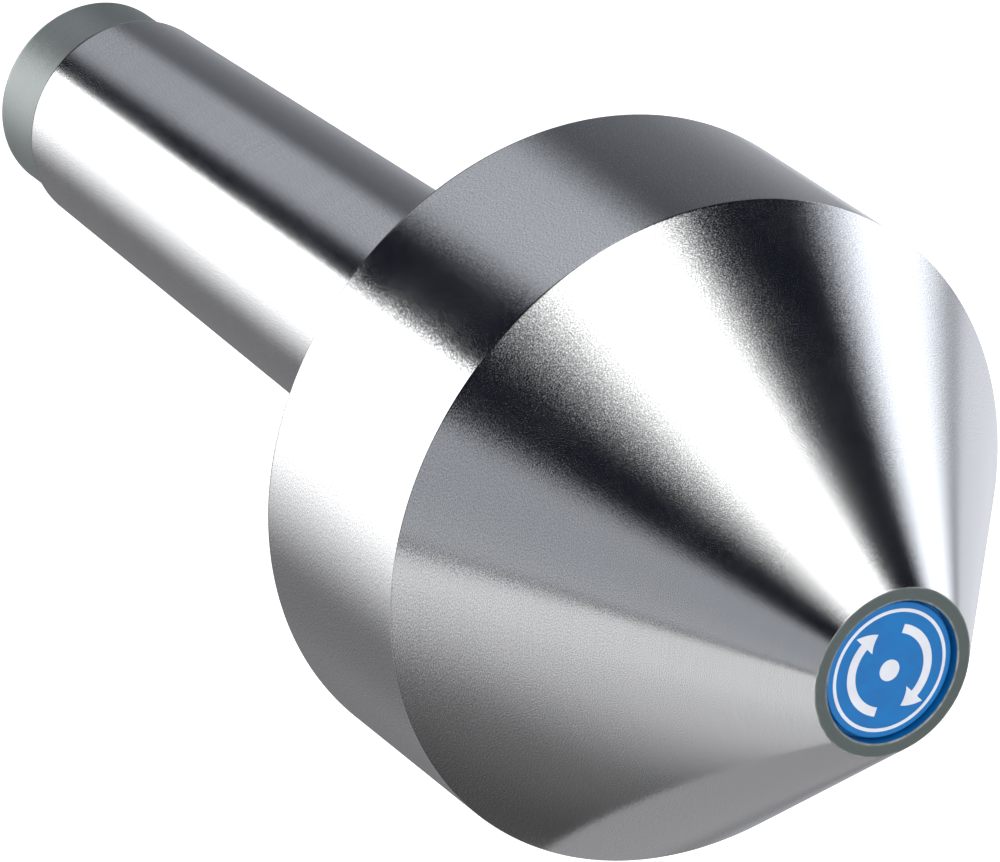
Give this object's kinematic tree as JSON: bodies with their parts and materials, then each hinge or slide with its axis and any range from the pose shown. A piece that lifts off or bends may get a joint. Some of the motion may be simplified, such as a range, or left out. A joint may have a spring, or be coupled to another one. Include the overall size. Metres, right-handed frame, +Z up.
{
  "type": "live center",
  "caption": "Live center for a lathe tailstock: a wide 75 degree truncated centring cone turns on ball bearings about a fixed Morse taper shank.",
  "frame": {"origin": "centre of the gauge plane of the Morse taper, on the lathe axis", "axes": "+X along the lathe axis towards the nose of the cone, +Z up, +Y completes a right-handed frame"},
  "size_m": [0.1386, 0.06, 0.06],
  "materials": {
    "ground_cone_steel": "hardened steel, fine circumferential grinding, satin",
    "ground_shank_steel": "hardened steel, ground taper with a duller turned plain end",
    "blackened_steel": "blackened steel, semi-matte",
    "label_enamel": "blue disc with a plain white graphic, slightly glossy",
    "seal_rubber": "matte nitrile rubber",
    "bearing_steel": "ground and polished bearing steel",
    "cage_brass": "turned brass"
  },
  "bodies": {
    "shank": {"spindle": "ground_shank_steel", "rear_inner_ring": "bearing_steel", "thrust_shaft_washer": "bearing_steel", "front_inner_ring": "bearing_steel", "spindle_circlip": "blackened_steel"},
    "head": {"cone_head": "ground_cone_steel", "rear_cover": "blackened_steel", "shaft_seal": "seal_rubber", "rear_outer_ring": "bearing_steel", "thrust_housing_washer": "bearing_steel", "front_outer_ring": "bearing_steel", "nose_plug": "blackened_steel", "label_disc": "label_enamel"},
    "rear_cage_set": {"rear_cage": "cage_brass", "rear_ball_1": "bearing_steel", "rear_ball_2": "bearing_steel", "rear_ball_3": "bearing_steel", "rear_ball_4": "bearing_steel", "rear_ball_5": "bearing_steel", "rear_ball_6": "bearing_steel", "rear_ball_7": "bearing_steel", "rear_ball_8": "bearing_steel", "rear_ball_9": "bearing_steel"},
    "thrust_cage_set": {"thrust_cage": "cage_brass", "thrust_ball_1": "bearing_steel", "thrust_ball_2": "bearing_steel", "thrust_ball_3": "bearing_steel", "thrust_ball_4": "bearing_steel", "thrust_ball_5": "bearing_steel", "thrust_ball_6": "bearing_steel", "thrust_ball_7": "bearing_steel", "thrust_ball_8": "bearing_steel", "thrust_ball_9": "bearing_steel", "thrust_ball_10": "bearing_steel", "thrust_ball_11": "bearing_steel", "thrust_ball_12": "bearing_steel"},
    "front_cage_set": {"front_cage": "cage_brass", "front_ball_1": "bearing_steel", "front_ball_2": "bearing_steel", "front_ball_3": "bearing_steel", "front_ball_4": "bearing_steel", "front_ball_5": "bearing_steel", "front_ball_6": "bearing_steel", "front_ball_7": "bearing_steel", "front_ball_8": "bearing_steel"}
  },
  "joints": [
    {"name": "head_spin", "type": "hinge", "parent": "shank", "child": "head", "pos_m": [0.03, 0, 0], "axis": [1, 0, 0], "continuous": true},
    {"name": "rear_cage_spin", "type": "hinge", "parent": "shank", "child": "rear_cage_set", "pos_m": [0.0183, 0, 0], "axis": [1, 0, 0], "continuous": true},
    {"name": "thrust_cage_spin", "type": "hinge", "parent": "shank", "child": "thrust_cage_set", "pos_m": [0.0296, 0, 0], "axis": [1, 0, 0], "continuous": true},
    {"name": "front_cage_spin", "type": "hinge", "parent": "shank", "child": "front_cage_set", "pos_m": [0.0389, 0, 0], "axis": [1, 0, 0], "continuous": true}
  ],
  "couplings": [
    {"joint": "rear_cage_spin", "follows": "head_spin", "ratio": 0.6024},
    {"joint": "thrust_cage_spin", "follows": "head_spin", "ratio": 0.5},
    {"joint": "front_cage_spin", "follows": "head_spin", "ratio": 0.6191}
  ]
}
